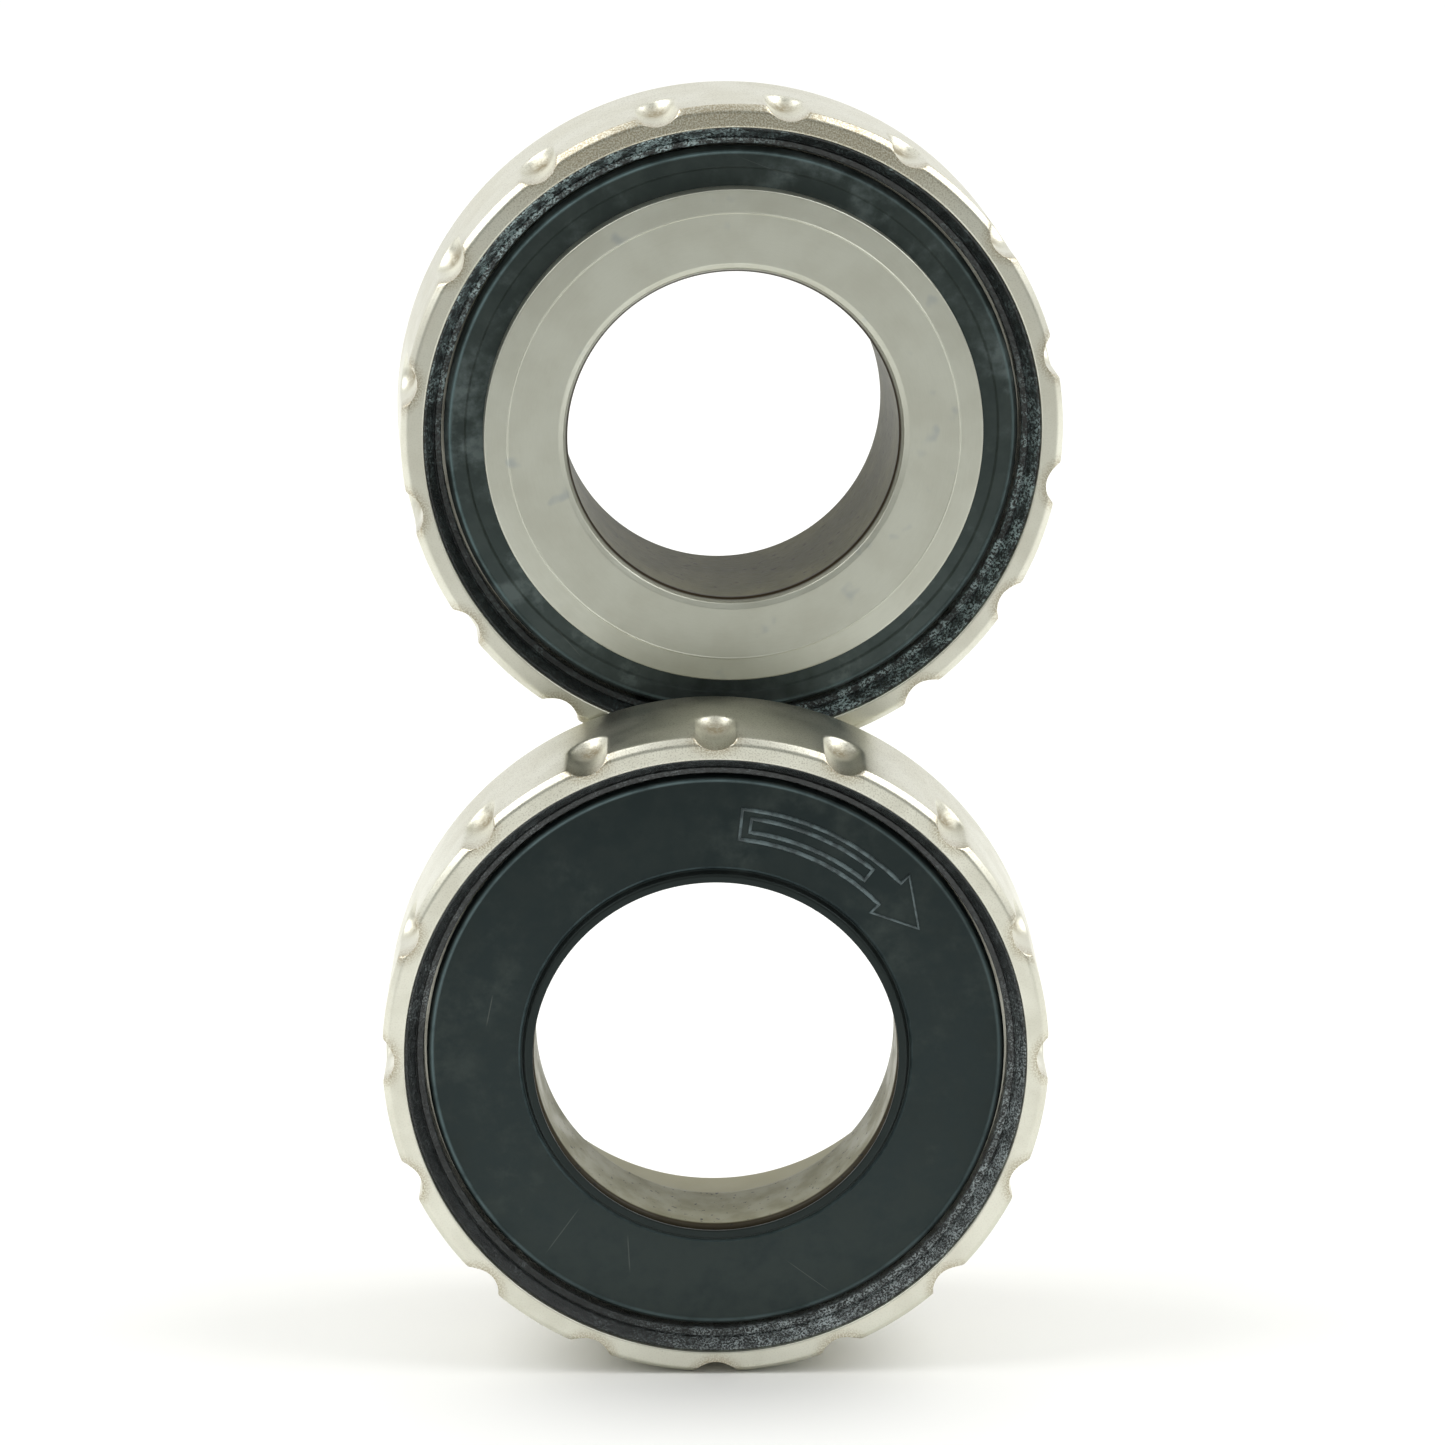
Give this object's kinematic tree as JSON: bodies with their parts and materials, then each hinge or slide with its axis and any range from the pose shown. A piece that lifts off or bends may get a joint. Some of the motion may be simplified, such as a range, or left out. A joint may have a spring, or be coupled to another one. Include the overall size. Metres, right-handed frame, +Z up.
{
  "type": "bottom bracket",
  "caption": "External threaded bottom bracket: notched cups with sealed cartridge bearings, turning dust shields and a top-hat bushing.",
  "frame": {"origin": "centre of the drive-side bearing: on its axis, in the plane of its ball centres", "axes": "+Y along the drive-side spindle axis, inboard; +Z up; +X to the right as seen from outboard"},
  "size_m": [0.0452, 0.034, 0.0834],
  "materials": {
    "cup_metal": "satin silver",
    "hat_metal": "turned, satin",
    "bearing_steel": "ground",
    "ball_steel": "polished",
    "cage_steel": "pressed sheet",
    "shield_plastic": "moulded, worn satin",
    "ring_rubber": "greasy",
    "seal_rubber": "matte"
  },
  "bodies": {
    "drive_cup": {"drive_cup_shell": "cup_metal", "drive_seal_ring": "ring_rubber", "drive_bearing_outer_ring": "bearing_steel", "drive_outboard_seal": "seal_rubber", "drive_inboard_seal": "seal_rubber"},
    "drive_rotor": {"drive_bearing_inner_ring": "bearing_steel", "drive_dust_shield": "shield_plastic"},
    "drive_cage": {"drive_bearing_balls": "ball_steel", "drive_cage_outboard_half": "cage_steel", "drive_cage_inboard_half": "cage_steel", "drive_cage_rivets": "cage_steel"},
    "nondrive_cup": {"nondrive_cup_shell": "cup_metal", "nondrive_seal_ring": "ring_rubber", "nondrive_bearing_outer_ring": "bearing_steel", "nondrive_outboard_seal": "seal_rubber", "nondrive_inboard_seal": "seal_rubber"},
    "nondrive_rotor": {"nondrive_bearing_inner_ring": "bearing_steel", "nondrive_dust_shield": "shield_plastic", "nondrive_top_hat": "hat_metal"},
    "nondrive_cage": {"nondrive_bearing_balls": "ball_steel", "nondrive_cage_outboard_half": "cage_steel", "nondrive_cage_inboard_half": "cage_steel", "nondrive_cage_rivets": "cage_steel"}
  },
  "joints": [
    {"name": "drive_spin", "type": "hinge", "parent": "drive_cup", "child": "drive_rotor", "pos_m": [0, 0, 0], "axis": [0, 1, 0], "continuous": true},
    {"name": "drive_cage_spin", "type": "hinge", "parent": "drive_cup", "child": "drive_cage", "pos_m": [0, 0, 0], "axis": [0, 1, 0], "continuous": true},
    {"name": "upper_cup_lift", "type": "slide", "parent": "drive_cup", "child": "nondrive_cup", "axis": [0, 0, 1], "range_m": [0, 0.06]},
    {"name": "nondrive_spin", "type": "hinge", "parent": "nondrive_cup", "child": "nondrive_rotor", "pos_m": [0.00094, 0.01199, 0.03945], "axis": [-0.0663, 0.9978, 0], "continuous": true},
    {"name": "nondrive_cage_spin", "type": "hinge", "parent": "nondrive_cup", "child": "nondrive_cage", "pos_m": [0.00094, 0.01199, 0.03945], "axis": [-0.0663, 0.9978, 0], "continuous": true}
  ],
  "couplings": [
    {"joint": "drive_cage_spin", "follows": "drive_spin", "ratio": 0.44795},
    {"joint": "nondrive_cage_spin", "follows": "nondrive_spin", "ratio": 0.44795}
  ]
}
